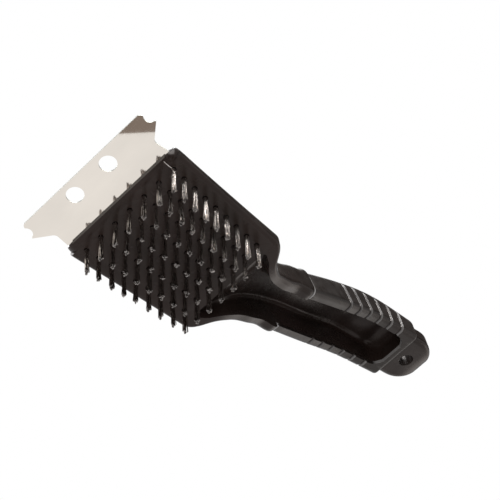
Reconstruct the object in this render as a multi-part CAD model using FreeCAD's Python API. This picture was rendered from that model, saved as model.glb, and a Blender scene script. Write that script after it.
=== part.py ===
import FreeCAD, Part
import math
import os

# Grill cleaning brush, in millimetres.
# It stands on its bristle tips: +Z is up, +X points to the scraper, Y runs across the head.
# It is built in the head's frame: x = 0 at the head's front face and z = 0 at the face that
# the bristles leave. The last step moves it, so that the origin is the bottom centre.

V = FreeCAD.Vector

# ---- driving dimensions -------------------------------------------------------------------
HEAD_HALF_WIDTH = 40.3         # at the front
HEAD_REAR_HALF_WIDTH = 34.5    # just before the shoulders
HEAD_LENGTH = 73.0             # front face to the start of the shoulders
HEAD_THICKNESS = 8.5           # at the front
HEAD_REAR_THICKNESS = 11.0
HEAD_CORNER = 5.0              # rounding of the front corners
HEAD_NOSE = (0.6, 2.5)         # how far the underside rises and the back falls at the front
HEAD_EDGES = (2.4, 5.2, 0.7)   # lower radius, upper radius, crown of the back
HEAD_CORNER_BALL = 6.5         # ball that rounds the lower front corners
HEAD_CORNER_LEAD = 2.2         # how far the front of that ball stands ahead of the front face

NECK_HALF_WIDTH = 17.2         # narrowest place, ahead of the grip
NECK_END_THICKNESS = 20.8
NECK_LENGTH = 50.5             # shoulders to the front of the grip, along the handle
CRANK_ANGLE = 26.6             # degrees that the handle rises behind the head
CRANK_RADIUS = 34.0
CRANK_LEAD = 1.0               # start of the bend behind the start of the shoulders

GRIP_LENGTH = 86.0             # length of the sleeve
GRIP_END_HALF_WIDTH = 17.2
GRIP_HALF_WIDTH = 18.1         # at the swell
GRIP_END_THICKNESS = 19.2
GRIP_THICKNESS = 21.4          # at the swell
GRIP_STEP = 0.4                # the sleeve is set in from the handle's outline
GRIP_EDGES = (3.4, 9.0, 1.2)   # lower radius, upper radius, crown of the back
SLEEVE_WALL = 2.4
SLEEVE_CLEARANCE = 0.08
SLEEVE_LIP = 0.5               # how far the rounded ends of the sleeve draw in
SEAM_GAP = 0.3                 # neck to sleeve
CORE_BURIED = 4.0              # start of the core inside the neck
CORE_PAST = 1.0                # core that shows behind the sleeve before the tail narrows

GROOVE_FIRST = 31.0            # front of the sleeve to the first groove
GROOVE_PITCH = 8.5
GROOVE_COUNT = 6
GROOVE_WIDTH = 2.6
GROOVE_DEPTH = 1.1
GROOVE_OVERCUT = 0.3           # how far the groove cutter runs past the sleeve's surface

TAIL_LENGTH = 22.0             # sleeve to the end of the handle
TAIL_THICKNESS = 12.0
TAIL_STEP = 0.3                # each side of the tail is set in from the core
TAIL_ROUNDING = 14.0           # length of the rounded end
TAIL_EDGES = (3.0, 4.0, 0.3)   # lower radius, upper radius, crown of the back
TAIL_LEVEL = 12.0              # degrees that the handle levels off towards its end
TAIL_BEND_RADIUS = 120.0
HANG_HOLE_RADIUS = 4.0
HANG_HOLE_EDGE = 13.0          # hole centre to the end of the handle
HANG_HOLE_OVERCUT = 5.0

HEAD_RIM = 9.0                 # rim left on each side of the recess at the shoulders
RIM_WIDTH = 6.0                # rim left on each side of the recess under the handle
HEAD_BACK_WALL = 3.0           # plastic left over the recess at the shoulders
CORE_BACK_WALL = 2.6           # plastic left between the recess and the sleeve
CHANNEL_LAG = 0.6              # start of the recess behind the start of the shoulders
CHANNEL_CORNER = 3.0
CHANNEL_DRAFT = 0.06           # slope of the recess's side walls
CHANNEL_OVERCUT = 2.0          # how far its cutter runs past the underside

ROWS = 9
COLUMNS = 7
FIRST_ROW = 7.6                # front face to the first row of tufts
LAST_ROW = 5.2                 # last row of tufts to the start of the shoulders
FRONT_TUFT_MARGIN = 8.05       # outermost tuft to the side of the head, at the first row
REAR_TUFT_MARGIN = 8.65        # and at the last row
TUFT_LENGTH = 20.0             # bristle length that shows
TUFT_ROOT_RADIUS = 1.3
TUFT_TIP_RADIUS = 2.0
TUFT_CLEARANCE = 0.1
TUFT_HOLE_DEPTH = 6.0
ANCHOR_HEIGHT = 1.4
ANCHOR_THICKNESS = 0.5
ANCHOR_CLEARANCE = 0.05

BLADE_THICKNESS = 0.8
BLADE_LEVEL = 2.1              # bristle face to the blade's near side
BLADE_REACH = 24.5             # front edge ahead of the front face
BLADE_WAIST_INSET = 4.3        # narrowest place of the plate, in from the side of the head
BLADE_FRONT_HALF_WIDTH = 43.1
BLADE_BARB_HALF_WIDTH = 45.0
BLADE_BARB_REACH = 15.6
BLADE_CORNER = 1.9             # rounding at the ends of the front edge
BLADE_BARB_TIP = 0.9
BLADE_NOTCH_DEPTH = 1.2        # notch between the front corner and the barb
BLADE_WAIST_REACH = 8.3
BLADE_WAIST_CORNER = 1.6
BLADE_WAIST_FLARE = 0.6        # the side widens again towards the head
BLADE_HOLE_RADIUS = 4.55
BLADE_HOLE_REACH = 17.1
BLADE_HOLE_OFFSET = 12.0
TANG_INSET = 4.6               # end of the hidden strip, in from the side of the head
TANG_LENGTH = 4.4
TAB_LENGTH = 17.0
TAB_WIDTH = 4.4
TAB_HOLE_RADIUS = 1.25         # the head's plastic fills it as a peg
BLADE_CLEARANCE = 0.05
CUT_OVERLAP = 1.0              # how far a straight cutter runs past the face it opens

# ---- the spine: centre line of the underside, from the front face to the tail --------------
ROW_PITCH = (HEAD_LENGTH - FIRST_ROW - LAST_ROW) / (ROWS - 1)
GRIP_START = HEAD_LENGTH + NECK_LENGTH
GRIP_END = GRIP_START + GRIP_LENGTH
TAIL_END = GRIP_END + TAIL_LENGTH
CRANK_START = HEAD_LENGTH + CRANK_LEAD
CRANK_RUN = CRANK_RADIUS * math.radians(CRANK_ANGLE)
LEVEL_START = GRIP_START + GRIP_LENGTH / 2
LEVEL_RUN = TAIL_BEND_RADIUS * math.radians(TAIL_LEVEL)

# each stretch: its length and its curvature
SPINE = [
    (CRANK_START, 0.0),
    (CRANK_RUN, 1 / CRANK_RADIUS),
    (LEVEL_START - CRANK_START - CRANK_RUN, 0.0),
    (LEVEL_RUN, -1 / TAIL_BEND_RADIUS),
    (TAIL_END, 0.0),
]


def spine(s):
    """Place and slope of the spine at distance s behind the front face."""
    run_x, run_z, slope = 0.0, 0.0, 0.0
    left = s
    for length, curvature in SPINE:
        run = min(left, length)
        turned = slope + run * curvature
        if curvature:
            run_x += (math.sin(turned) - math.sin(slope)) / curvature
            run_z += (math.cos(slope) - math.cos(turned)) / curvature
        else:
            run_x += run * math.cos(slope)
            run_z += run * math.sin(slope)
        slope = turned
        left -= run
    return -run_x, run_z, slope


def place(s, y, height):
    """A point of the section at s: y across, height above the underside, square to the spine."""
    x, z, slope = spine(s)
    return V(x + height * math.sin(slope), y, z + height * math.cos(slope))


def between(start, end, share):
    return start + (end - start) * share


def line_at(s, a, b):
    return Part.LineSegment(place(s, *a), place(s, *b)).toShape()


def arc_at(s, a, middle, b):
    return Part.Arc(place(s, *a), place(s, *middle), place(s, *b)).toShape()


def mirrored(point):
    return (-point[0], point[1])


def section(s, half, low, high, edges):
    """Closed outline with rounded lower corners, larger upper ones and a crowned back."""
    lower, upper, crown = edges
    crown_radius = (half * half + crown * crown) / (2 * crown)
    crown_centre = high - crown_radius
    corner_y = half - upper
    corner_z = crown_centre + math.sqrt((crown_radius - upper) ** 2 - corner_y ** 2)
    reach = crown_radius / (crown_radius - upper)
    join = (corner_y * reach, crown_centre + (corner_z - crown_centre) * reach)
    bend = math.atan2(corner_z - crown_centre, corner_y) / 2
    upper_middle = (corner_y + upper * math.cos(bend), corner_z + upper * math.sin(bend))
    slant = lower * (1 - math.sqrt(0.5))
    flat_end = (half - lower, low)
    lower_middle = (half - slant, low + slant)
    side_low = (half, low + lower)
    side_high = (half, corner_z)
    return Part.Wire([
        line_at(s, mirrored(flat_end), flat_end),
        arc_at(s, flat_end, lower_middle, side_low),
        line_at(s, side_low, side_high),
        arc_at(s, side_high, upper_middle, join),
        arc_at(s, join, (0.0, high), mirrored(join)),
        arc_at(s, mirrored(join), mirrored(upper_middle), mirrored(side_high)),
        line_at(s, mirrored(side_high), mirrored(side_low)),
        arc_at(s, mirrored(side_low), mirrored(lower_middle), mirrored(flat_end)),
    ])


def loft(wires):
    solid, ruled, closed, degree = True, False, False, 3
    return Part.makeLoft(wires, solid, ruled, closed, degree)


# ---- head and neck ------------------------------------------------------------------------
def head_half(s):
    return between(HEAD_HALF_WIDTH, HEAD_REAR_HALF_WIDTH, s / HEAD_LENGTH)


def head_wires():
    """Sections from the rounded front, along the tapering sides, to the shoulders."""
    rise, fall = HEAD_NOSE
    wires = []
    for share, inset in ((0.0, 0.8), (0.25, 0.35), (0.6, 0.09)):
        low, high = inset * rise, HEAD_THICKNESS - inset * fall
        size = (high - low) / HEAD_THICKNESS
        edges = [size * edge for edge in HEAD_EDGES]
        wires.append(section(share * HEAD_CORNER, HEAD_HALF_WIDTH - inset * HEAD_CORNER, low, high,
                             edges))
    for share in (0.08, 0.2, 0.4, 0.6, 0.8, 0.93, 1.0):
        thickness = between(HEAD_THICKNESS, HEAD_REAR_THICKNESS, share ** 2)
        wires.append(section(share * HEAD_LENGTH, head_half(share * HEAD_LENGTH), 0.0, thickness,
                             HEAD_EDGES))
    return wires


def corner_cutter(side):
    """Block with a ball taken out of it, which rounds one lower front corner."""
    radius = HEAD_CORNER_BALL
    back = radius - HEAD_CORNER_LEAD
    centre = V(-back, side * (head_half(back) - radius), radius)
    size = radius + CUT_OVERLAP
    low_y = min(centre.y, centre.y + side * size)
    block = Part.makeBox(size, size, size, V(-back, low_y, -CUT_OVERLAP))
    return block.cut(Part.makeSphere(radius, centre))


# shoulders and neck: share of the neck's length, how much of the head's extra width is left,
# how much of the grip's extra thickness is reached, how much of the head's wider rim is left
NECK_SHAPE = ((0.06, 0.97, 0.04, 1.0), (0.11, 0.88, 0.08, 1.0), (0.16, 0.71, 0.14, 0.7),
              (0.22, 0.46, 0.22, 0.3), (0.29, 0.27, 0.31, 0.1), (0.38, 0.13, 0.43, 0.0),
              (0.5, 0.04, 0.58, 0.0), (0.66, 0.0, 0.75, 0.0), (0.83, 0.0, 0.9, 0.0),
              (1.0, 0.01, 1.0, 0.0))


def neck_sizes():
    """Place, half width, thickness, thickness share and rim of each section of the neck."""
    for run, width_share, thick_share, rim_share in NECK_SHAPE:
        half = between(NECK_HALF_WIDTH, HEAD_REAR_HALF_WIDTH, width_share)
        thickness = between(HEAD_REAR_THICKNESS, NECK_END_THICKNESS, thick_share)
        rim = between(RIM_WIDTH, HEAD_RIM, rim_share)
        yield HEAD_LENGTH + run * NECK_LENGTH, half, thickness, thick_share, rim


def neck_wires():
    """Sections from the shoulders, which draw in fast, to the front of the grip."""
    wires = []
    for s, half, thickness, thick_share, rim in neck_sizes():
        edges = [between(a, b, thick_share) for a, b in zip(HEAD_EDGES, GRIP_EDGES)]
        wires.append(section(s, half, 0.0, thickness, edges))
    return wires


# ---- grip ---------------------------------------------------------------------------------
def grip_size(s):
    """Half width and thickness of the grip at s, with a swell at its middle."""
    share = min(max((s - GRIP_START) / GRIP_LENGTH, 0.0), 1.0)
    swell = math.sin(math.pi * share)
    half = between(GRIP_END_HALF_WIDTH, GRIP_HALF_WIDTH, swell)
    thickness = between(GRIP_END_THICKNESS, GRIP_THICKNESS, swell)
    return half, thickness


def grip_wire(s, inset):
    half, thickness = grip_size(s)
    lower, upper, crown = GRIP_EDGES
    edges = (lower - inset, upper - inset, crown)
    return section(s, half - inset, inset, thickness - inset, edges)


def spaced(start, end, count):
    return [between(start, end, i / (count - 1)) for i in range(count)]


def core(clearance):
    """The moulded core inside the sleeve. It ends just behind the sleeve."""
    stations = spaced(GRIP_START - CORE_BURIED, GRIP_END + CORE_PAST, 10)
    return loft([grip_wire(s, SLEEVE_WALL - clearance) for s in stations])


# rounded end of the tail: share of its length, of the tail's width, of its thickness
TAIL_TIP = ((0.0, 1.0, 1.0), (0.3, 0.955, 1.0), (0.55, 0.84, 0.98), (0.77, 0.66, 0.9),
            (0.92, 0.44, 0.76), (1.0, 0.2, 0.52))


def tail():
    """The flat end of the handle, with its rounded tip. It starts in the end of the core."""
    half = GRIP_END_HALF_WIDTH - SLEEVE_WALL - TAIL_STEP
    middle = SLEEVE_WALL + TAIL_THICKNESS / 2
    lower, upper, crown = TAIL_EDGES
    rounding_start = TAIL_END - TAIL_ROUNDING
    straight = spaced(GRIP_END + CORE_PAST / 2, rounding_start, 3)
    shapes = [(s, 1.0, 1.0) for s in straight[:-1]]
    shapes += [(rounding_start + run * TAIL_ROUNDING, wide, thick) for run, wide, thick in TAIL_TIP]
    wires = []
    for s, wide, thick in shapes:
        half_thick = TAIL_THICKNESS / 2 * thick
        wires.append(section(s, half * wide, middle - half_thick, middle + half_thick,
                             (lower * wide, upper * wide, crown)))
    return loft(wires)


# rounded front of the recess: distance from its start, inset of the sides, share of the depth
CHANNEL_FRONT = ((0.0, 2.6, 0.55), (0.5, 1.2, 0.75), (1.4, 0.3, 0.92))
# sections under the grip: share of its length; then the rounded end, with its shrinking
CHANNEL_RUN = (0.25, 0.5, 0.75, 0.88)
CHANNEL_BACK = ((0.93, 0.85), (0.96, 0.55))


def channel_stations():
    """Place, half width and depth of each section of the recess."""
    start = HEAD_LENGTH + CHANNEL_LAG
    half = HEAD_REAR_HALF_WIDTH - HEAD_RIM
    depth = HEAD_REAR_THICKNESS - HEAD_BACK_WALL
    stations = [(start + step, half - inset, depth * share) for step, inset, share in CHANNEL_FRONT]
    for s, body_half, thickness, share, rim in neck_sizes():
        wall = between(HEAD_BACK_WALL, SLEEVE_WALL + CORE_BACK_WALL, share)
        stations.append((s, body_half - rim, thickness - wall))
    for share in CHANNEL_RUN:
        s = GRIP_START + share * GRIP_LENGTH
        body_half, thickness = grip_size(s)
        stations.append((s, body_half - RIM_WIDTH, thickness - SLEEVE_WALL - CORE_BACK_WALL))
    last_half, last_depth = stations[-1][1:]
    for share, shrink in CHANNEL_BACK:
        stations.append((GRIP_START + share * GRIP_LENGTH, last_half * shrink, last_depth * shrink))
    return stations


def channel():
    """The moulded recess under the shoulders and the handle."""
    wires = []
    low = -CHANNEL_OVERCUT
    for s, half, depth in channel_stations():
        top_half = half - depth * CHANNEL_DRAFT
        low_half = half + CHANNEL_OVERCUT * CHANNEL_DRAFT
        slant = CHANNEL_CORNER * (1 - math.sqrt(0.5))
        low_end = (low_half, low)
        side_end = (top_half, depth - CHANNEL_CORNER)
        corner_middle = (top_half - slant, depth - slant)
        top_end = (top_half - CHANNEL_CORNER, depth)
        wires.append(Part.Wire([
            line_at(s, mirrored(low_end), low_end),
            line_at(s, low_end, side_end),
            arc_at(s, side_end, corner_middle, top_end),
            line_at(s, top_end, mirrored(top_end)),
            arc_at(s, mirrored(top_end), mirrored(corner_middle), mirrored(side_end)),
            line_at(s, mirrored(side_end), mirrored(low_end)),
        ]))
    return loft(wires)


def groove(s):
    """Cutter for one groove round the sleeve: a slab with the rounded groove floor taken out."""
    half_width, size = GROOVE_WIDTH / 2, 3 * GRIP_HALF_WIDTH
    floor = loft([grip_wire(s - half_width - GROOVE_OVERCUT, GRIP_STEP - GROOVE_OVERCUT),
                  grip_wire(s, GRIP_STEP + GROOVE_DEPTH),
                  grip_wire(s + half_width + GROOVE_OVERCUT, GRIP_STEP - GROOVE_OVERCUT)])
    slab = Part.makeBox(GROOVE_WIDTH, size, size, V(-half_width, -size / 2, -size / 3))
    slab.rotate(V(0, 0, 0), V(0, 1, 0), math.degrees(spine(s)[2]))
    slab.translate(place(s, 0.0, 0.0))
    return slab.cut(floor)


# rounded ends of the sleeve: distance from the end, share of the lip's inset
SLEEVE_LIP_SHAPE = ((0.0, 1.0), (0.4, 0.28), (1.1, 0.0), (2.6, 0.0))
SLEEVE_LIP_RUN = 8.0


def grip_sleeve(recess):
    """Soft sleeve round the core, from the seam at the neck to the tail."""
    start = GRIP_START + SEAM_GAP
    lip = [(step, inset * SLEEVE_LIP) for step, inset in SLEEVE_LIP_SHAPE]
    stations = [(start + step, inset) for step, inset in lip]
    stations += [(s, 0.0) for s in spaced(start + SLEEVE_LIP_RUN, GRIP_END - SLEEVE_LIP_RUN, 9)]
    stations += [(GRIP_END - step, inset) for step, inset in reversed(lip)]
    body = loft([grip_wire(s, GRIP_STEP + inset) for s, inset in stations])
    body = body.cut(core(SLEEVE_CLEARANCE)).cut(recess)
    for i in range(GROOVE_COUNT):
        body = body.cut(groove(GRIP_START + GROOVE_FIRST + i * GROOVE_PITCH))
    return body


# ---- tufts and their anchors --------------------------------------------------------------
def row_place(row):
    """Distance of a row, or of a place between two rows, behind the front face."""
    return FIRST_ROW + row * ROW_PITCH


def tuft_pitch(row):
    """Spacing of the tufts across. The columns draw together towards the handle."""
    margin = between(FRONT_TUFT_MARGIN, REAR_TUFT_MARGIN, row / (ROWS - 1))
    return 2 * (head_half(row_place(row)) - margin) / (COLUMNS - 1)


def tuft_places(row):
    """Centres of one row's tufts."""
    middle = (COLUMNS - 1) / 2
    return [(-row_place(row), (column - middle) * tuft_pitch(row)) for column in range(COLUMNS)]


def tuft(x, y):
    """A bundle of wires as one solid: a straight root in its hole and a spreading brush end."""
    root_top = TUFT_HOLE_DEPTH - ANCHOR_HEIGHT - ANCHOR_CLEARANCE
    profile = [V(0, 0, root_top), V(TUFT_ROOT_RADIUS, 0, root_top), V(TUFT_ROOT_RADIUS, 0, 0),
               V(TUFT_TIP_RADIUS, 0, -TUFT_LENGTH), V(0, 0, -TUFT_LENGTH), V(0, 0, root_top)]
    bundle = Part.Face(Part.makePolygon(profile)).revolve(V(0, 0, 0), V(0, 0, 1), 360)
    bundle.translate(V(x, y, 0))
    return bundle


def tuft_hole_radius():
    return TUFT_ROOT_RADIUS + TUFT_CLEARANCE


def anchor(x, y):
    """The flat staple that holds a tuft at the bottom of its hole."""
    room = tuft_hole_radius() - ANCHOR_CLEARANCE
    half_length = math.sqrt(room ** 2 - (ANCHOR_THICKNESS / 2) ** 2)
    low = TUFT_HOLE_DEPTH - ANCHOR_HEIGHT
    corner = V(x - ANCHOR_THICKNESS / 2, y - half_length, low)
    return Part.makeBox(ANCHOR_THICKNESS, 2 * half_length, ANCHOR_HEIGHT, corner)


def tuft_hole(x, y):
    return Part.makeCylinder(tuft_hole_radius(), TUFT_HOLE_DEPTH + CUT_OVERLAP, V(x, y, -CUT_OVERLAP))


# ---- scraper blade ------------------------------------------------------------------------
def flat_solid(edges, low, high):
    face = Part.Face(Part.Wire(edges))
    face.translate(V(0, 0, low))
    return face.extrude(V(0, 0, high - low))


def chain(points):
    """Straight edges, or an arc where a point is given as (middle, end)."""
    edges = []
    here = points[0]
    for step in points[1:]:
        if isinstance(step[0], tuple):
            middle, end = step
            edges.append(Part.Arc(V(*here, 0), V(*middle, 0), V(*end, 0)).toShape())
        else:
            end = step
            edges.append(Part.LineSegment(V(*here, 0), V(*end, 0)).toShape())
        here = end
    return edges


def mirror_y(shape):
    return shape.mirror(V(0, 0, 0), V(0, 1, 0))


def tab_hole_place():
    """Between the first two rows and between two columns, clear of the tuft holes."""
    between_rows, between_columns = 0.5, 1.5
    return -row_place(between_rows), between_columns * tuft_pitch(between_rows)


def blade_half():
    """Half of the visible plate: straight front edge, barbed end with its notch, drawn-in side."""
    front_y, barb_y = BLADE_FRONT_HALF_WIDTH, BLADE_BARB_HALF_WIDTH
    waist_y = HEAD_HALF_WIDTH - BLADE_WAIST_INSET
    reach, barb_x, waist_x = BLADE_REACH, BLADE_BARB_REACH, BLADE_WAIST_REACH
    corner, tip, bend = BLADE_CORNER, BLADE_BARB_TIP, BLADE_WAIST_CORNER
    notch_x = (reach + barb_x) / 2 - tip
    outline = chain([
        (BLADE_CLEARANCE, 0.0), (reach, 0.0), (reach, front_y - corner),
        ((reach - 0.18 * corner, front_y - 0.6 * corner), (reach - 0.58 * corner, front_y - 0.24 * corner)),
        (reach - 1.05 * corner, front_y),
        ((notch_x, front_y - BLADE_NOTCH_DEPTH), (barb_x + tip, barb_y - 0.55 * tip)),
        ((barb_x + 0.55 * tip, barb_y), (barb_x - 0.1 * tip, barb_y - 0.45 * tip)),
        (waist_x + bend, waist_y + 0.87 * bend),
        ((waist_x + 0.19 * bend, waist_y + 0.16 * bend), (waist_x - 0.87 * bend, waist_y)),
        (BLADE_CLEARANCE, waist_y + BLADE_WAIST_FLARE), (BLADE_CLEARANCE, 0.0),
    ])
    return flat_solid(outline, BLADE_LEVEL, BLADE_LEVEL + BLADE_THICKNESS)


def tang(clearance):
    """The part of the blade that is moulded into the head: a strip with two tabs."""
    low, high = BLADE_LEVEL - clearance, BLADE_LEVEL + BLADE_THICKNESS + clearance
    half, length = HEAD_HALF_WIDTH - TANG_INSET + clearance, TANG_LENGTH + clearance
    strip = Part.makeBox(length + CUT_OVERLAP, 2 * half, high - low, V(-length, -half, low))
    tab_half = TAB_WIDTH / 2 + clearance
    tab_length = TAB_LENGTH + clearance
    hole_x, hole_y = tab_hole_place()
    shape = strip
    for side in (-1, 1):
        corner = V(-tab_length, side * hole_y - tab_half, low)
        tab = Part.makeBox(tab_length, 2 * tab_half, high - low, corner)
        peg = Part.makeCylinder(TAB_HOLE_RADIUS - clearance, high - low, V(hole_x, side * hole_y, low))
        shape = shape.fuse(tab).cut(peg)
    return shape


def scraper_blade():
    half = blade_half()
    plate = half.fuse(mirror_y(half)).fuse(tang(0.0))
    for side in (-1, 1):
        plate = plate.cut(Part.makeCylinder(BLADE_HOLE_RADIUS, BLADE_THICKNESS,
                                            V(BLADE_HOLE_REACH, side * BLADE_HOLE_OFFSET, BLADE_LEVEL)))
    return plate.removeSplitter()


# ---- body ---------------------------------------------------------------------------------
def hang_hole():
    s = TAIL_END - HANG_HOLE_EDGE
    start = place(s, 0.0, -HANG_HOLE_OVERCUT)
    axis = place(s, 0.0, 1.0) - place(s, 0.0, 0.0)
    return Part.makeCylinder(HANG_HOLE_RADIUS, GRIP_THICKNESS + 2 * HANG_HOLE_OVERCUT, start, axis)


def brush_body(recess):
    """Head, neck and handle core as one moulding, with its holes, slot and channel."""
    body = loft(head_wires() + neck_wires()).fuse(core(0.0)).fuse(tail())
    body = body.cut(corner_cutter(-1)).cut(corner_cutter(1))
    body = body.cut(recess).cut(hang_hole()).cut(tang(BLADE_CLEARANCE))
    holes = [tuft_hole(x, y) for row in range(ROWS) for x, y in tuft_places(row)]
    return body.cut(Part.makeCompound(holes))


def build():
    recess = channel()
    pieces = {
        "brush_body": brush_body(recess),
        "grip_sleeve": grip_sleeve(recess),
        "scraper_blade": scraper_blade(),
    }
    for row in range(ROWS):
        places = tuft_places(row)
        pieces[f"bristle_row_{row + 1}"] = Part.makeCompound([tuft(x, y) for x, y in places])
        pieces[f"anchor_row_{row + 1}"] = Part.makeCompound([anchor(x, y) for x, y in places])
    return pieces


def main():
    pieces = build()
    front = BLADE_REACH
    back = pieces["brush_body"].optimalBoundingBox().XMin
    shift = V(-(front + back) / 2, 0, TUFT_LENGTH)
    os.makedirs("parts", exist_ok=True)
    for name, shape in pieces.items():
        shape.translate(shift)
        shape.exportStep(f"parts/{name}.step")
        box = shape.optimalBoundingBox()
        print(f"{name:16s} solids {len(shape.Solids):3d} valid {shape.isValid()} "
              f"volume {shape.Volume / 1000:7.2f} cm3 x {box.XMin:7.1f} {box.XMax:7.1f} "
              f"y {box.YMin:6.1f} {box.YMax:6.1f} z {box.ZMin:6.1f} {box.ZMax:6.1f}")
    hole = place(TAIL_END - HANG_HOLE_EDGE, 0.0, SLEEVE_WALL + TAIL_THICKNESS / 2) + shift
    slope = math.degrees(spine(TAIL_END - HANG_HOLE_EDGE)[2])
    print(f"shift {shift.x:.3f} hang hole centre {hole.x:.3f} {hole.z:.3f} slope {slope:.3f}")


main()
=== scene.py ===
import math
import random

import bpy
from mathutils import Matrix, Vector


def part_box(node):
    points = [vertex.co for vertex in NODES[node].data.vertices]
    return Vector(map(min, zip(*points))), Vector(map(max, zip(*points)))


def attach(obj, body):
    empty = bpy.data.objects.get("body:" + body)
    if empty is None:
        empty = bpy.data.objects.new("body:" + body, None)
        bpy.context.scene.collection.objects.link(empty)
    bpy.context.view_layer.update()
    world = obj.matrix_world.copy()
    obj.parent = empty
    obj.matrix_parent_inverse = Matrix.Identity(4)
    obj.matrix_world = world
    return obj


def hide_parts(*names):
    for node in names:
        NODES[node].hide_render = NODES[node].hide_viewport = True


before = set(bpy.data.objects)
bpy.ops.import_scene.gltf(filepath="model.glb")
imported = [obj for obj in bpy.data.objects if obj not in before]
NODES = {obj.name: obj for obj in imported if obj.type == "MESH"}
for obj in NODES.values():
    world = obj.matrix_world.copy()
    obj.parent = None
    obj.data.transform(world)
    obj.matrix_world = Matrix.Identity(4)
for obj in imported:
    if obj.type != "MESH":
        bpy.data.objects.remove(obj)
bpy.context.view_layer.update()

# Looks of the grill cleaning brush: finishes for the moulded body, the grip sleeve and the
# scraper, and loose wires for every tuft. Metres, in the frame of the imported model: +X points
# to the scraper, the bristle tips are at z = 0.

ROWS = [name for name in sorted(NODES) if name.startswith("bristle_row_")]
COLUMNS = 7

body_low, body_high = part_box("brush_body")
blade_low, blade_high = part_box("scraper_blade")
FACE_Z = body_low.z                    # the face that the bristles leave
HEAD_FRONT_X = body_high.x
HANDLE_FORWARD = Vector((0.96, 0.0, -0.28))    # along the handle, towards the head
SEAM_FORWARD = Vector((0.894, 0.0, -0.448))    # the same where the sleeve starts
# width of the painted highlight band round the sleeve's front seam
SEAM_HIGHLIGHT_WIDTH = 0.0013

# ---- wires --------------------------------------------------------------------------------
WIRES_PER_TUFT = 38
WIRE_RADIUS = 0.00019
WIRE_SIDES = 6
WIRE_BENDS = 5                         # rings along a wire
ROOT_RADIUS = 0.00108                  # the bundle where it leaves the head
ROOT_DEPTH = 0.003                     # how far the wires are followed into their hole
SPREAD_START = 0.12                    # share of the length that stays straight
SHORTEST = 0.88                        # share of the full length that the shortest wires have
STRANDS = 3                            # clumps that the wires of a tuft gather into
STRAND_REACH = 0.50                    # how far out the clumps stand, of the tip radius
STRAND_NEAREST = 0.7                   # the least of that reach
STRAND_TURN = 0.3                      # radians that a clump may stand off its even place
STRAND_SHORTEST = 0.93                 # share of the full length
STRAND_RADIUS = 0.00078
LOOSE_DROP = 0.07                      # how much shorter the loosest wires may be
LEAN = 0.00035                         # how far a whole tuft may lean at its tip
WANDER = 0.00022                       # how far a wire bows out between its ends
TIP_SLANT = 0.5
GOLDEN_ANGLE = math.pi * (3 - math.sqrt(5))

# ---- stage --------------------------------------------------------------------------------
CAMERA_AZIMUTH = 133.16
CAMERA_ELEVATION = -55.77
CAMERA_ROLL = -4.15
CAMERA_DISTANCE = 1.2308
CAMERA_AIM = Vector((0.0298, 0.0221, 0.0200))
CAMERA_LENS = 180.05
SENSOR_WIDTH = 36.0

FLOOR_HALF = 0.9
FLOOR_LEVEL = -0.0002                  # just under the bristle tips
FLOOR_FADE = (0.30, 0.75)              # distance where the floor starts to fade, and is gone
FLOOR_GREY = 0.86
WORLD_LEVELS = (0.55, 1.0)             # as a light, and as the white background

# Cards that stand in for the surroundings in reflections:
# name, azimuth, elevation, distance, width, height, glow, and the point they face if it isn't
# the origin. The near one, off the front corner, shows in that corner and the wires beside it.
CARDS = (
    ("card_above", 227, 52, 2.6, 3.0, 2.6, (0.16, 0.14, 0.13)),
    ("card_viewer", 133, -62, 2.2, 2.4, 1.4, (0.10, 0.09, 0.085)),
    ("card_corner", 135, -10, 0.022, 0.030, 0.030, (10.0, 10.6, 10.8),
     Vector((HEAD_FRONT_X, body_high.y, FACE_Z))),
    ("card_rim", 270, -5, 2.0, 2.6, 0.9, (2.5, 2.4, 2.3)))
HAND_CARD_HALF = 0.0105
HAND_CARD_ENDS = ((0.000, 0.0275), (-0.085, 0.0700))   # x and z of its front and back edges
HAND_CARD_GLOW = (0.045, 0.026, 0.020)
BLADE_CARD_DROP = 0.07                 # how far below the scraper its card hangs
BLADE_CARD_GLOW = (0.265, 0.220, 0.192)

# name, azimuth, elevation, distance, size, power, tint, and what its light is kept from
LAMPS = (
    ("key", 180, 33, 1.2, 0.45, 26.0, (1.0, 0.98, 0.95), "diffuse"),
    ("corner", 133, 42, 1.2, 0.75, 24.0, (0.96, 0.99, 1.0), "diffuse"),
    ("lip_highlight", 133, 84, 1.3, 0.4, 6.0, (0.97, 0.99, 1.0), "diffuse"),
    ("below", 120, -40, 1.4, 1.2, 8.0, (1.0, 0.95, 0.90), "glossy"),
    ("top", 20, 60, 1.3, 1.0, 10.0, (1.0, 1.0, 1.0), None))


# ---- small helpers ------------------------------------------------------------------------
def direction(azimuth, elevation):
    """Unit vector from the object towards a viewer; azimuth 0 is in front, at -Y."""
    a, e = math.radians(azimuth), math.radians(elevation)
    return Vector((math.sin(a) * math.cos(e), -math.cos(a) * math.cos(e), math.sin(e)))


def facing(back, roll=0.0):
    """Rotation of an object whose -Z looks along -back."""
    turn = back.to_track_quat("Z", "Y").to_matrix()
    return (turn @ Matrix.Rotation(math.radians(roll), 3, "Z")).to_4x4()


def mesh_object(name, points, faces, material):
    mesh = bpy.data.meshes.new(name)
    mesh.from_pydata(points, [], faces)
    mesh.update()
    mesh.materials.append(material)
    piece = bpy.data.objects.new(name, mesh)
    bpy.context.scene.collection.objects.link(piece)
    return piece


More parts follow.
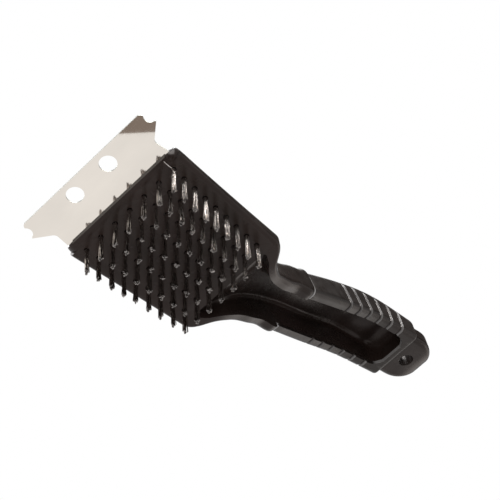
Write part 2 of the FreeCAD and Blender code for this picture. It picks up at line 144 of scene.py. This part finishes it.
class Finish:
    """A principled material with short calls for the nodes that feed it."""

    def __init__(self, name, **constants):
        self.material = bpy.data.materials.new(name)
        self.material.use_nodes = True
        self.tree = self.material.node_tree
        self.shader = self.tree.nodes["Principled BSDF"]
        for socket, value in constants.items():
            self.shader.inputs[socket.replace("_", " ")].default_value = value
        self.place = self.tree.nodes.new("ShaderNodeTexCoord").outputs["Object"]

    def node(self, kind, inputs=None, **settings):
        made = self.tree.nodes.new(kind)
        for key, value in settings.items():
            setattr(made, key, value)
        for key, value in (inputs or {}).items():
            if isinstance(value, bpy.types.NodeSocket):
                self.tree.links.new(value, made.inputs[key])
            else:
                made.inputs[key].default_value = value
        return made

    def feed(self, socket, value):
        self.tree.links.new(value, self.shader.inputs[socket])

    def stretched(self, scale):
        return self.node("ShaderNodeMapping", {"Vector": self.place, "Scale": scale}).outputs[0]

    def noise(self, scale, detail=3.0, vector=None):
        made = self.node("ShaderNodeTexNoise", {"Vector": vector or self.place, "Scale": scale,
                                                "Detail": detail})
        return made.outputs["Fac"]

    def mapped(self, value, low, high, start=0.35, end=0.65):
        made = self.node("ShaderNodeMapRange", {"Value": value, "From Min": start, "From Max": end,
                                                "To Min": low, "To Max": high})
        return made.outputs["Result"]

    def mixed(self, share, first, second):
        made = self.node("ShaderNodeMix", data_type="RGBA")
        self.tree.links.new(share, made.inputs["Factor"])
        for index, value in ((6, first), (7, second)):
            if isinstance(value, bpy.types.NodeSocket):
                self.tree.links.new(value, made.inputs[index])
            else:
                made.inputs[index].default_value = (*value, 1.0)
        return made.outputs[2]

    def bump(self, height, distance, strength=1.0, below=None):
        inputs = {"Height": height, "Distance": distance, "Strength": strength}
        if below is not None:
            inputs["Normal"] = below
        return self.node("ShaderNodeBump", inputs).outputs["Normal"]


# ---- finishes -----------------------------------------------------------------------------
def moulded_plastic():
    """Black satin plastic with a faint cloudiness, fine mould grain and rubbed edges."""
    f = Finish("body_black_plastic", Specular_IOR_Level=0.20,
               Specular_Tint=(1.0, 0.90, 0.86, 1.0))
    cloud = f.noise(28.0, 4.0)
    dark = f.mixed(f.mapped(cloud, 0.0, 1.0), (0.0110, 0.0080, 0.0066), (0.0205, 0.0128, 0.0110))
    edges = f.node("ShaderNodeNewGeometry").outputs["Pointiness"]
    worn = f.mapped(edges, 0.0, 0.5, 0.53, 0.62)
    f.feed("Base Color", f.mixed(worn, dark, (0.034, 0.029, 0.027)))
    f.feed("Roughness", f.mapped(f.noise(160.0, 5.0), 0.19, 0.29))
    waves = f.bump(f.noise(55.0, 2.0), 0.00010, 0.5)
    f.feed("Normal", f.bump(f.noise(2600.0, 2.0), 0.00002, 0.6, waves))
    return f.material


def grip_rubber():
    """Duller and finer grained than the body; painted highlights make its front seam and the
    grooves' forward-facing walls pale.
    """
    f = Finish("grip_soft_rubber", Specular_IOR_Level=0.20,
               Specular_Tint=(1.0, 0.92, 0.88, 1.0))
    cloud = f.noise(40.0, 4.0)
    dark = f.mixed(f.mapped(cloud, 0.0, 1.0), (0.0115, 0.0090, 0.0080), (0.0175, 0.0132, 0.0120))
    # painted highlight: walls that face along the handle, towards the head, are paler as if catching
    # light
    normal = f.node("ShaderNodeNewGeometry").outputs["Normal"]
    forward = f.node("ShaderNodeVectorMath", {0: normal, 1: HANDLE_FORWARD}, operation="DOT_PRODUCT")
    lip_highlight = f.mapped(forward.outputs["Value"], 0.0, 1.0, 0.45, 0.75)
    # painted highlight: a pale band round the front end of the sleeve, at its seam
    end = max(vertex.co.dot(SEAM_FORWARD) for vertex in NODES["grip_sleeve"].data.vertices)
    along = f.node("ShaderNodeVectorMath", {0: f.place, 1: SEAM_FORWARD}, operation="DOT_PRODUCT")
    seam_highlight = f.mapped(along.outputs["Value"], 0.0, 1.0, end - SEAM_HIGHLIGHT_WIDTH, end - SEAM_HIGHLIGHT_WIDTH * 0.7)
    with_lip_highlight = f.mixed(lip_highlight, dark, (0.17, 0.165, 0.165))
    f.feed("Base Color", f.mixed(seam_highlight, with_lip_highlight, (0.40, 0.39, 0.39)))
    f.feed("Roughness", f.mapped(f.noise(220.0, 5.0), 0.26, 0.37))
    f.feed("Normal", f.bump(f.noise(3400.0, 3.0), 0.00003, 0.8))
    return f.material


def polished_steel():
    """Warm polished sheet with faint hairlines, a few soft smears and duller cut edges."""
    f = Finish("blade_polished_steel", Metallic=1.0)
    smear = f.noise(1.0, 4.0, f.stretched((60.0, 25.0, 60.0)))
    sheet = f.mixed(f.mapped(smear, 0.0, 1.0), (0.735, 0.685, 0.625), (0.785, 0.730, 0.665))
    normal = f.node("ShaderNodeNewGeometry").outputs["Normal"]
    upright = f.node("ShaderNodeSeparateXYZ", {"Vector": normal}).outputs["Z"]
    flat = f.node("ShaderNodeMath", {0: upright}, operation="ABSOLUTE").outputs[0]
    f.feed("Base Color", f.mixed(f.mapped(flat, 0.0, 1.0), (0.20, 0.20, 0.185), sheet))
    hairlines = f.noise(1.0, 2.0, f.stretched((5200.0, 90.0, 5200.0)))
    cut_edges = f.mapped(flat, 0.40, 0.0)
    dullness = f.node("ShaderNodeMath", {0: cut_edges, 1: f.mapped(hairlines, 0.03, 0.07)},
                      operation="ADD")
    f.feed("Roughness", dullness.outputs[0])
    f.feed("Normal", f.bump(hairlines, 0.000002, 0.15))
    return f.material


def wire_steel():
    """Drawn stainless wire, with a darker colour over its last few millimetres towards the tip."""
    f = Finish("wire_drawn_steel", Metallic=1.0)
    tint = f.noise(900.0, 2.0)
    shaft = f.mixed(f.mapped(tint, 0.0, 1.0), (0.44, 0.40, 0.38), (0.80, 0.76, 0.73))
    height = f.node("ShaderNodeSeparateXYZ", {"Vector": f.place}).outputs["Z"]
    above_tip = f.mapped(height, 0.0, 1.0, 0.0008, 0.0040)
    f.feed("Base Color", f.mixed(above_tip, (0.25, 0.230, 0.22), shaft))
    f.feed("Roughness", f.mapped(f.noise(2500.0, 2.0), 0.12, 0.22))
    f.feed("Normal", f.bump(f.noise(5200.0, 2.0), 0.00001, 0.3))
    return f.material


# ---- tufts --------------------------------------------------------------------------------
def ring(centre, along, radius):
    """Points of one ring round a wire."""
    side = along.orthogonal().normalized()
    other = along.cross(side)
    turns = [2 * math.pi * i / WIRE_SIDES for i in range(WIRE_SIDES)]
    return [centre + radius * (math.cos(t) * side + math.sin(t) * other) for t in turns]


def add_wire(points, faces, path, radius, cut=Vector()):
    """A closed tube along path, whose far end is snipped at the slant that cut gives."""
    first = len(points)
    for i, centre in enumerate(path):
        ahead = (path[min(i + 1, len(path) - 1)] - path[max(i - 1, 0)]).normalized()
        if i == len(path) - 1:
            ahead = (ahead + cut).normalized()
        points.extend(ring(centre, ahead, radius))
    for i in range(len(path) - 1):
        low, high = first + i * WIRE_SIDES, first + (i + 1) * WIRE_SIDES
        for k in range(WIRE_SIDES):
            after = (k + 1) % WIRE_SIDES
            faces.append((low + k, low + after, high + after, high + k))
    last = first + (len(path) - 1) * WIRE_SIDES
    faces.append(tuple(first + k for k in reversed(range(WIRE_SIDES))))
    faces.append(tuple(last + k for k in range(WIRE_SIDES)))


def wire_path(chance, root, offset, length):
    """Centre line of one wire: straight in its hole, then leaning out, with a slight wander."""
    drift = Vector((chance.uniform(-1, 1), chance.uniform(-1, 1), 0.0)) * WANDER
    path = [root + Vector((0, 0, ROOT_DEPTH))]
    for i in range(WIRE_BENDS):
        run = i / (WIRE_BENDS - 1)
        lean = max(0.0, run - SPREAD_START) / (1 - SPREAD_START)
        wander = drift * math.sin(math.pi * run)
        path.append(root + offset * lean ** 1.1 + wander - Vector((0, 0, run * length)))
    return path


def level_vector(angle, reach):
    return Vector((math.cos(angle), math.sin(angle), 0.0)) * reach


def tuft_wires(chance, points, faces, foot, tip_radius):
    """One bundle. Its wires fill the root evenly and gather into a few ragged points."""
    tilt = chance.uniform(0, 2 * math.pi)
    lean = level_vector(chance.uniform(0, 2 * math.pi), chance.uniform(0, LEAN))
    step = 2 * math.pi / STRANDS
    strands = []
    for k in range(STRANDS):
        reach = tip_radius * STRAND_REACH * chance.uniform(STRAND_NEAREST, 1.0)
        angle = k * step + chance.uniform(-STRAND_TURN, STRAND_TURN)
        strands.append((level_vector(angle, reach), chance.uniform(STRAND_SHORTEST, 1.0)))
    for i in range(WIRES_PER_TUFT):
        share = math.sqrt((i + 0.5) / WIRES_PER_TUFT)
        angle = (i * GOLDEN_ANGLE + tilt) % (2 * math.pi)
        root = foot + level_vector(angle, share * ROOT_RADIUS)
        centre, strand_level = strands[round(angle / step) % STRANDS]
        loose = chance.uniform(0, 1) ** 0.7
        spot = lean + centre + level_vector(chance.uniform(0, 2 * math.pi), loose * STRAND_RADIUS)
        level = max(SHORTEST, strand_level - LOOSE_DROP * loose * chance.uniform(0.3, 1.0))
        path = wire_path(chance, root, foot + spot - root, FACE_Z * level)
        cut = Vector([chance.uniform(-TIP_SLANT, TIP_SLANT) for _ in range(3)])
        add_wire(points, faces, path, WIRE_RADIUS, cut)


def wire_row(name, material):
    """All the tufts of one row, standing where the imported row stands."""
    low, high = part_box(name)
    number = int(name.rsplit("_", 1)[1])
    chance = random.Random(400 + number)
    tip_radius = (high.x - low.x) / 2
    x = (low.x + high.x) / 2
    pitch = (high.y - low.y - 2 * tip_radius) / (COLUMNS - 1)
    points, faces = [], []
    for column in range(COLUMNS):
        foot = Vector((x, low.y + tip_radius + column * pitch, FACE_Z))
        tuft_wires(chance, points, faces, foot, tip_radius - WIRE_RADIUS)
    piece = mesh_object(f"wires_row_{number}", points, faces, material)
    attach(piece, "root")
    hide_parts(name)
    return piece


def stray_wire(material):
    """One wire of the front corner tuft that has come loose and points forward."""
    low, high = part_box(ROWS[0])
    tip_radius = (high.x - low.x) / 2
    foot = Vector(((low.x + high.x) / 2, high.y - tip_radius, FACE_Z))
    root = foot + Vector((ROOT_RADIUS, 0.0, 0.0))
    path = [root + Vector((dx, dy, dz)) for dx, dy, dz in (
        (0.0, 0.0, ROOT_DEPTH), (0.0, 0.0, 0.0), (0.0009, 0.0001, -0.0006),
        (0.0030, 0.0003, -0.0010), (0.0058, 0.0006, -0.0012))]
    points, faces = [], []
    add_wire(points, faces, path, WIRE_RADIUS)
    piece = mesh_object("wire_stray", points, faces, material)
    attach(piece, "root")
    return piece


# ---- stage --------------------------------------------------------------------------------
def floor_material():
    """Pale floor that is seen from above only and fades into the background further out."""
    material = bpy.data.materials.new("stage_floor")
    material.use_nodes = True
    tree = material.node_tree
    tree.nodes.clear()
    made = {kind: tree.nodes.new("ShaderNode" + kind) for kind in (
        "OutputMaterial", "MixShader", "BsdfTransparent", "BsdfDiffuse", "NewGeometry",
        "VectorMath", "MapRange", "Math")}
    made["BsdfDiffuse"].inputs["Color"].default_value = (FLOOR_GREY, FLOOR_GREY, FLOOR_GREY, 1)
    made["VectorMath"].operation = "LENGTH"
    made["MapRange"].inputs["From Min"].default_value = FLOOR_FADE[0]
    made["MapRange"].inputs["From Max"].default_value = FLOOR_FADE[1]
    made["MapRange"].interpolation_type = "SMOOTHSTEP"
    made["Math"].operation = "MAXIMUM"
    link = tree.links.new
    link(made["NewGeometry"].outputs["Position"], made["VectorMath"].inputs[0])
    link(made["VectorMath"].outputs["Value"], made["MapRange"].inputs["Value"])
    link(made["MapRange"].outputs["Result"], made["Math"].inputs[0])
    link(made["NewGeometry"].outputs["Backfacing"], made["Math"].inputs[1])
    link(made["Math"].outputs[0], made["MixShader"].inputs["Fac"])
    link(made["BsdfDiffuse"].outputs[0], made["MixShader"].inputs[1])
    link(made["BsdfTransparent"].outputs[0], made["MixShader"].inputs[2])
    link(made["MixShader"].outputs[0], made["OutputMaterial"].inputs["Surface"])
    return material


def make_floor():
    corners = [(x * FLOOR_HALF, y * FLOOR_HALF, FLOOR_LEVEL)
               for x, y in ((-1, -1), (1, -1), (1, 1), (-1, 1))]
    floor = mesh_object("floor", corners, [(0, 1, 2, 3)], floor_material())
    for kind in ("diffuse", "glossy", "transmission", "shadow"):
        setattr(floor, "visible_" + kind, False)


def make_card(name, corners, glow):
    """A dim card that only reflections can see."""
    material = bpy.data.materials.new("stage_" + name)
    material.use_nodes = True
    tree = material.node_tree
    tree.nodes.clear()
    emission = tree.nodes.new("ShaderNodeEmission")
    emission.inputs["Color"].default_value = (*glow, 1)
    out = tree.nodes.new("ShaderNodeOutputMaterial")
    tree.links.new(emission.outputs[0], out.inputs["Surface"])
    card = mesh_object(name, corners, [(0, 1, 2, 3)], material)
    for kind in ("camera", "diffuse", "transmission", "shadow"):
        setattr(card, "visible_" + kind, False)


def facing_card(name, azimuth, elevation, distance, width, height, glow, aim=Vector()):
    """A card at a distance from aim, and facing it."""
    back = direction(azimuth, elevation)
    turn = facing(back).to_3x3()
    corners = [aim + back * distance + turn @ Vector((x * width / 2, y * height / 2, 0.0))
               for x, y in ((-1, -1), (1, -1), (1, 1), (-1, 1))]
    make_card(name, corners, glow)


def make_hand_card():
    """Stands for the fingers that fill the hollow under the handle and keep it dark."""
    front, back = HAND_CARD_ENDS
    corners = [(x, side * HAND_CARD_HALF, z) for (x, z), side in (
        (front, -1), (front, 1), (back, 1), (back, -1))]
    make_card("card_hand", corners, HAND_CARD_GLOW)


def make_blade_card():
    """The card that the outer end of the scraper mirrors towards the camera."""
    eye = CAMERA_AIM + direction(CAMERA_AZIMUTH, CAMERA_ELEVATION) * CAMERA_DISTANCE
    width = blade_high.y
    front, back = blade_high.x + 0.004, HEAD_FRONT_X + 0.008
    corners = []
    for x, y in ((front, width * 0.53), (back, width * 0.99),
                 (back, width * 1.8), (front, width * 1.8)):
        spot = Vector((x, y, blade_low.z))
        ray = (spot - eye).normalized()
        ray.z = -ray.z
        corners.append(spot + ray * BLADE_CARD_DROP)
    make_card("card_blade", corners, BLADE_CARD_GLOW)


def make_lamp(name, azimuth, elevation, distance, size, power, tint, kept_from):
    lamp = bpy.data.lights.new(name, "AREA")
    lamp.shape = "DISK"
    lamp.size = size
    lamp.energy = power
    lamp.color = tint
    holder = bpy.data.objects.new(name, lamp)
    holder.visible_camera = False
    back = direction(azimuth, elevation)
    holder.matrix_world = Matrix.Translation(back * distance) @ facing(back)
    bpy.context.scene.collection.objects.link(holder)
    if kept_from:
        setattr(holder, "visible_" + kept_from, False)


def make_world():
    """Soft even light. To the camera and in reflections the background itself is white."""
    world = bpy.data.worlds.new("studio")
    world.use_nodes = True
    tree = world.node_tree
    background = tree.nodes["Background"]
    path = tree.nodes.new("ShaderNodeLightPath")
    seen = path.outputs["Is Camera Ray"]
    for kind in ("Is Glossy Ray", "Is Transmission Ray"):
        either = tree.nodes.new("ShaderNodeMath")
        either.operation = "MAXIMUM"
        tree.links.new(seen, either.inputs[0])
        tree.links.new(path.outputs[kind], either.inputs[1])
        seen = either.outputs[0]
    level = tree.nodes.new("ShaderNodeMapRange")
    level.inputs["To Min"].default_value = WORLD_LEVELS[0]
    level.inputs["To Max"].default_value = WORLD_LEVELS[1]
    tree.links.new(seen, level.inputs["Value"])
    tree.links.new(level.outputs["Result"], background.inputs["Strength"])
    background.inputs["Color"].default_value = (1, 1, 1, 1)
    bpy.context.scene.world = world


def make_camera():
    back = direction(CAMERA_AZIMUTH, CAMERA_ELEVATION)
    data = bpy.data.cameras.new("camera")
    data.sensor_width = SENSOR_WIDTH
    data.lens = CAMERA_LENS
    data.clip_end = 20.0
    camera = bpy.data.objects.new("camera", data)
    place = Matrix.Translation(CAMERA_AIM + back * CAMERA_DISTANCE)
    camera.matrix_world = place @ facing(back, CAMERA_ROLL)
    bpy.context.scene.collection.objects.link(camera)
    bpy.context.scene.camera = camera


# ---- put together -------------------------------------------------------------------------
make_camera()
make_world()
make_floor()
make_blade_card()
make_hand_card()
for card in CARDS:
    facing_card(*card)
for lamp in LAMPS:
    make_lamp(*lamp)

wire_finish = wire_steel()
finishes = {"brush_body": moulded_plastic(), "grip_sleeve": grip_rubber(),
            "scraper_blade": polished_steel()}
for name, node in NODES.items():
    for index in range(len(node.material_slots)):
        node.material_slots[index].material = finishes.get(name, wire_finish)
for name in ROWS:
    wire_row(name, wire_finish)
stray_wire(wire_finish)

bpy.context.scene.view_settings.view_transform = "Standard"
